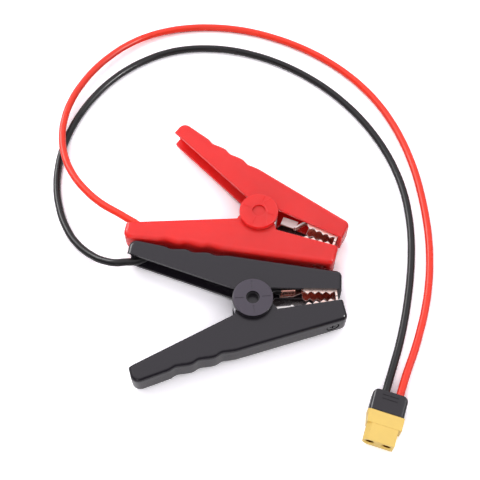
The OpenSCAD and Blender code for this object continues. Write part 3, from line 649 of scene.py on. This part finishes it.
class CLAMPLEAD_OT_connector(Operator):
    """Builds the connector's housing, rear cover and two contacts"""

    bl_idname = "clamp_lead.connector"
    bl_label = "Connector"

    def execute(self, context):
        edge = sizes().connector_edge
        dressed("connector_housing", "connector_body", [yellow_nylon()], edge, LEAD)
        dressed("connector_cover", "rear_cover", [clamp_plastic("black")], edge, LEAD)
        for pole in ("positive", "negative"):
            dressed(f"{pole}_contact", f"{pole}_socket", [gilt_metal()], CONTACT_EDGE * MM,
                    LEAD)
        return {"FINISHED"}


class CLAMPLEAD_OT_wires(Operator):
    """Lays the two free wires from the clamps to the connector"""

    bl_idname = "clamp_lead.wires"
    bl_label = "Wires"

    def execute(self, context):
        thickness = sizes().wire_thickness
        for clamp in CLAMPS:
            points = wire_points(clamp)
            wire = smooth_line(f"{clamp}_silicone_wire", points, thickness,
                               wire_silicone(clamp))
            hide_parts(f"{clamp}_wire")
            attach(wire, LEAD)
        return {"FINISHED"}


class CLAMPLEAD_OT_wire_ends(Operator):
    """Runs each wire through its lever, with the bare strands in the crimp"""

    bl_idname = "clamp_lead.wire_ends"
    bl_label = "Wire Ends"

    def execute(self, context):
        for clamp in CLAMPS:
            points = tail_points(clamp)
            tail = smooth_line(f"{clamp}_wire_in_handle", points, sizes().wire_thickness,
                               wire_silicone(clamp))
            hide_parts(f"{clamp}_wire_tail")
            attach(tail, LEAD)
            along = (points[-1] - points[-2]).normalized()
            reach = (CORE_END - LEVER_ROUTE[-1][0]) * MM
            core = smooth_line(f"{clamp}_bare_strands",
                               [points[-1], points[-1] + along * reach],
                               sizes().core_thickness, copper_plating())
            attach(core, LEAD)
            dressed(f"{clamp}_crimp", f"{clamp}_crimp_barrel", [copper_plating()],
                    sizes().jaw_edge, LEAD)
        return {"FINISHED"}


class CLAMPLEAD_OT_shells(Operator):
    """Dresses the four moulded lever shells"""

    bl_idname = "clamp_lead.shells"
    bl_label = "Lever Shells"

    def execute(self, context):
        for clamp, facts in CLAMPS.items():
            for side, body in (("wired", LEAD), ("free", facts["grip"])):
                shell = dressed(f"{clamp}_{side}_lever", f"{clamp}_{side}_shell",
                                [clamp_plastic(clamp), disc_plastic(clamp)],
                                sizes().shell_edge, body,
                                sharp_from=SHELL_SHARP_FROM)
                level_faces(shell, clamp, DISC_FACES, 1)
        return {"FINISHED"}


class CLAMPLEAD_OT_pins(Operator):
    """Dresses the two pivot pins"""

    bl_idname = "clamp_lead.pins"
    bl_label = "Pivot Pins"

    def execute(self, context):
        for clamp in CLAMPS:
            dressed(f"{clamp}_pivot_pin", f"{clamp}_pin", [clamp_plastic(clamp)],
                    PIN_EDGE * MM, LEAD)
        return {"FINISHED"}


class CLAMPLEAD_OT_springs(Operator):
    """Winds the torsion springs in their closed shape; they don't twist as the clamps open"""

    bl_idname = "clamp_lead.springs"
    bl_label = "Springs"

    def execute(self, context):
        for clamp, facts in CLAMPS.items():
            spring = self.wound(f"{clamp}_torsion_spring", place_of(clamp))
            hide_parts(f"{clamp}_spring")
            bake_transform(spring)
        return {"FINISHED"}

    def wound(self, name, place):
        """A round wire spun up the coil, with a straight leg drawn from each end."""
        bm = bmesh.new()
        first_angle = math.radians(90 - LEG_DIRECTION)
        height = COIL_PITCH * COIL_SWEEP / 360 * MM
        steps = COIL_SWEEP // COIL_STEP
        bmesh.ops.create_circle(bm, segments=COIL_SIDES, radius=sizes().spring_wire / 2)
        bmesh.ops.rotate(bm, verts=bm.verts, matrix=Matrix.Rotation(math.pi / 2, 3, "X"))
        bmesh.ops.translate(bm, verts=bm.verts, vec=(COIL_RADIUS * MM, 0, -height / 2))
        bmesh.ops.rotate(bm, verts=bm.verts, matrix=Matrix.Rotation(first_angle, 3, "Z"))
        first_ring = list(bm.edges)
        spun = bmesh.ops.spin(bm, geom=bm.verts[:] + bm.edges[:], cent=(0, 0, 0),
                              axis=(0, 0, 1), dvec=(0, 0, height / steps),
                              angle=math.radians(COIL_SWEEP), steps=steps)
        last_ring = [e for e in spun["geom_last"] if isinstance(e, bmesh.types.BMEdge)]
        aim = math.radians(LEG_DIRECTION)
        for ring, side in ((first_ring, -1), (last_ring, 1)):
            leg = Vector((math.cos(aim), side * math.sin(aim), 0)) * LEG_LENGTH * MM
            drawn = bmesh.ops.extrude_edge_only(bm, edges=ring)["geom"]
            tips = [v for v in drawn if isinstance(v, bmesh.types.BMVert)]
            bmesh.ops.translate(bm, verts=tips, vec=leg)
            rim = [e for e in drawn if isinstance(e, bmesh.types.BMEdge)
                   and all(v in tips for v in e.verts)]
            bmesh.ops.contextual_create(bm, geom=rim)
        bmesh.ops.recalc_face_normals(bm, faces=bm.faces)
        bmesh.ops.transform(bm, matrix=place, verts=bm.verts)
        spring = piece_from(bm, name)
        spring.data.materials.append(spring_steel())
        smooth(spring, 40)
        return spring


class CLAMPLEAD_OT_jaws(Operator):
    """Dresses the four stamped jaws"""

    bl_idname = "clamp_lead.jaws"
    bl_label = "Jaws"

    def execute(self, context):
        for clamp, facts in CLAMPS.items():
            for side, body in (("wired", LEAD), ("free", facts["grip"])):
                jaw = dressed(f"{clamp}_{side}_jaw", f"{clamp}_{side}_toothed_jaw",
                              [copper_plating(), bare_edge(), rolled_face()],
                              sizes().jaw_edge, body, edge_material=1)
                # The inner level faces get the near-white painted highlight and the outer level
                # faces the pink painted sheen; the walls keep the copper darkened as painted
                # shade
                level_faces(jaw, clamp, INNER_FACES, 1)
                level_faces(jaw, clamp, OUTER_FACES, 2)
        return {"FINISHED"}


class CLAMPLEAD_OT_screws(Operator):
    """Dresses the four jaw screws"""

    bl_idname = "clamp_lead.screws"
    bl_label = "Jaw Screws"

    def execute(self, context):
        for clamp, facts in CLAMPS.items():
            for side, body in (("wired", LEAD), ("free", facts["grip"])):
                dressed(f"{clamp}_{side}_jaw_screw", f"{clamp}_{side}_screw",
                        [clamp_plastic(clamp)], SCREW_EDGE * MM, body)
        return {"FINISHED"}


class CLAMPLEAD_OT_stage(Operator):
    """Adds the pale floor, the sky and the lamps"""

    bl_idname = "clamp_lead.stage"
    bl_label = "Stage"

    def execute(self, context):
        self.lay_floor()
        self.set_sky(context.scene)
        self.hang_lamps(context.scene)
        context.scene.view_settings.view_transform = "Standard"
        return {"FINISHED"}

    def lay_floor(self):
        """A matte floor that shows almost white, with a dark painted shade in closed-in places.
        """
        bm = bmesh.new()
        bmesh.ops.create_grid(bm, x_segments=1, y_segments=1, size=FLOOR_SIZE)
        floor = piece_from(bm, "floor")
        paint = bpy.data.materials.new("pale_floor")
        paint.use_nodes = True
        tree = paint.node_tree
        tree.nodes.clear()
        matte, lift, painted_shade = (add_node(tree, "ShaderNodeBsdfDiffuse", {"Color": colour})
                             for colour in (FLOOR_COLOUR, FLOOR_LIFT, FLOOR_PAINTED_SHADE))
        lifted = tree.nodes.new("ShaderNodeAddShader")
        tree.links.new(matte.outputs[0], lifted.inputs[0])
        tree.links.new(lift.outputs[0], lifted.inputs[1])
        # Where ambient occlusion finds a closed-in place, the floor shows a dark painted shade
        # instead of its lit colour
        painted_shade_mask = add_node(tree, "ShaderNodeAmbientOcclusion",
                             {"Distance": CLOSED_REACH}, samples=CLOSED_SAMPLES)
        seen = tree.nodes.new("ShaderNodeMixShader")
        tree.links.new(spread(tree, painted_shade_mask.outputs["AO"], *CLOSED_FROM_TO),
                       seen.inputs[0])
        tree.links.new(painted_shade.outputs[0], seen.inputs[1])
        tree.links.new(lifted.outputs[0], seen.inputs[2])
        rays = tree.nodes.new("ShaderNodeLightPath")
        choice = tree.nodes.new("ShaderNodeMixShader")
        out = tree.nodes.new("ShaderNodeOutputMaterial")
        tree.links.new(rays.outputs["Is Camera Ray"], choice.inputs[0])
        tree.links.new(self.dimmed_away(tree).outputs[0], choice.inputs[1])
        tree.links.new(seen.outputs[0], choice.inputs[2])
        tree.links.new(choice.outputs[0], out.inputs["Surface"])
        floor.data.materials.append(paint)

    def dimmed_away(self, tree):
        """The floor in reflections and as it throws light back, dark further away."""
        place = tree.nodes.new("ShaderNodeTexCoord")
        away = add_node(tree, "ShaderNodeVectorMath", operation="LENGTH")
        tree.links.new(place.outputs["Object"], away.inputs[0])
        near = add_node(tree, "ShaderNodeRGB")
        near.outputs[0].default_value = FLOOR_COLOUR
        far = add_node(tree, "ShaderNodeRGB")
        far.outputs[0].default_value = FLOOR_FAR
        colour = blended(tree, spread(tree, away.outputs["Value"], *FAR_FROM_TO),
                         near.outputs[0], far.outputs[0])
        matte = tree.nodes.new("ShaderNodeBsdfDiffuse")
        tree.links.new(colour, matte.inputs["Color"])
        return matte

    def set_sky(self, scene):
        """Bright overhead and behind, dim near the horizon, and white to the camera."""
        sky = bpy.data.worlds.new("studio_sky")
        sky.use_nodes = True
        tree = sky.node_tree
        tree.nodes.clear()
        coords = tree.nodes.new("ShaderNodeTexCoord")
        slope = add_node(tree, "ShaderNodeVectorMath", operation="DOT_PRODUCT")
        slope.inputs[1].default_value = SKY_TOWARD
        tree.links.new(coords.outputs["Generated"], slope.inputs[0])
        level = spread(tree, slope.outputs["Value"], *SKY_FROM_TO, *SKY_LEVELS)
        light = add_node(tree, "ShaderNodeBackground", {"Color": SKY_COLOUR})
        tree.links.new(level, light.inputs["Strength"])
        white = add_node(tree, "ShaderNodeBackground", {"Color": (1, 1, 1, 1)})
        rays = tree.nodes.new("ShaderNodeLightPath")
        choice = tree.nodes.new("ShaderNodeMixShader")
        out = tree.nodes.new("ShaderNodeOutputWorld")
        tree.links.new(rays.outputs["Is Camera Ray"], choice.inputs[0])
        tree.links.new(light.outputs[0], choice.inputs[1])
        tree.links.new(white.outputs[0], choice.inputs[2])
        tree.links.new(choice.outputs[0], out.inputs["Surface"])
        scene.world = sky

    def hang_lamps(self, scene):
        """Round lamps that face the middle; the glints show only in reflections."""
        for name, place, size, power, mirrored in LAMPS:
            data = bpy.data.lights.new(name, "AREA")
            data.shape = "DISK"
            data.size = size
            data.energy = power
            lamp = bpy.data.objects.new(name, data)
            lamp.location = place
            lamp.visible_glossy = mirrored
            lamp.visible_diffuse = not mirrored
            lamp.rotation_mode = "QUATERNION"
            lamp.rotation_quaternion = (-Vector(place)).to_track_quat("-Z", "Y")
            scene.collection.objects.link(lamp)


BUILDERS = (
    CLAMPLEAD_OT_camera, CLAMPLEAD_OT_connector, CLAMPLEAD_OT_wires,
    CLAMPLEAD_OT_wire_ends, CLAMPLEAD_OT_shells, CLAMPLEAD_OT_pins, CLAMPLEAD_OT_springs,
    CLAMPLEAD_OT_jaws, CLAMPLEAD_OT_screws, CLAMPLEAD_OT_stage,
)


class CLAMPLEAD_PT_panel(Panel):
    """Lists the lead's settings and the steps that build it"""

    bl_label = "Clamp Lead"
    bl_idname = "CLAMPLEAD_PT_panel"
    bl_space_type = "VIEW_3D"
    bl_region_type = "UI"
    bl_category = "Clamp Lead"

    def draw(self, context):
        for group in (context.scene.clamp_lead_sizes, context.scene.clamp_lead_colours):
            box = self.layout.box()
            for name in group.__annotations__:
                box.prop(group, name)
        for builder in BUILDERS:
            self.layout.operator(builder.bl_idname)


CLASSES = (ClampLeadSizes, ClampLeadColours, *BUILDERS, CLAMPLEAD_PT_panel)


def register():
    for kind in CLASSES:
        bpy.utils.register_class(kind)
    bpy.types.Scene.clamp_lead_sizes = PointerProperty(type=ClampLeadSizes)
    bpy.types.Scene.clamp_lead_colours = PointerProperty(type=ClampLeadColours)


def unregister():
    del bpy.types.Scene.clamp_lead_colours
    del bpy.types.Scene.clamp_lead_sizes
    for kind in reversed(CLASSES):
        bpy.utils.unregister_class(kind)


def main():
    register()
    for builder in BUILDERS:
        family, step = builder.bl_idname.split(".")
        getattr(getattr(bpy.ops, family), step)()


if __name__ == "__main__":
    main()
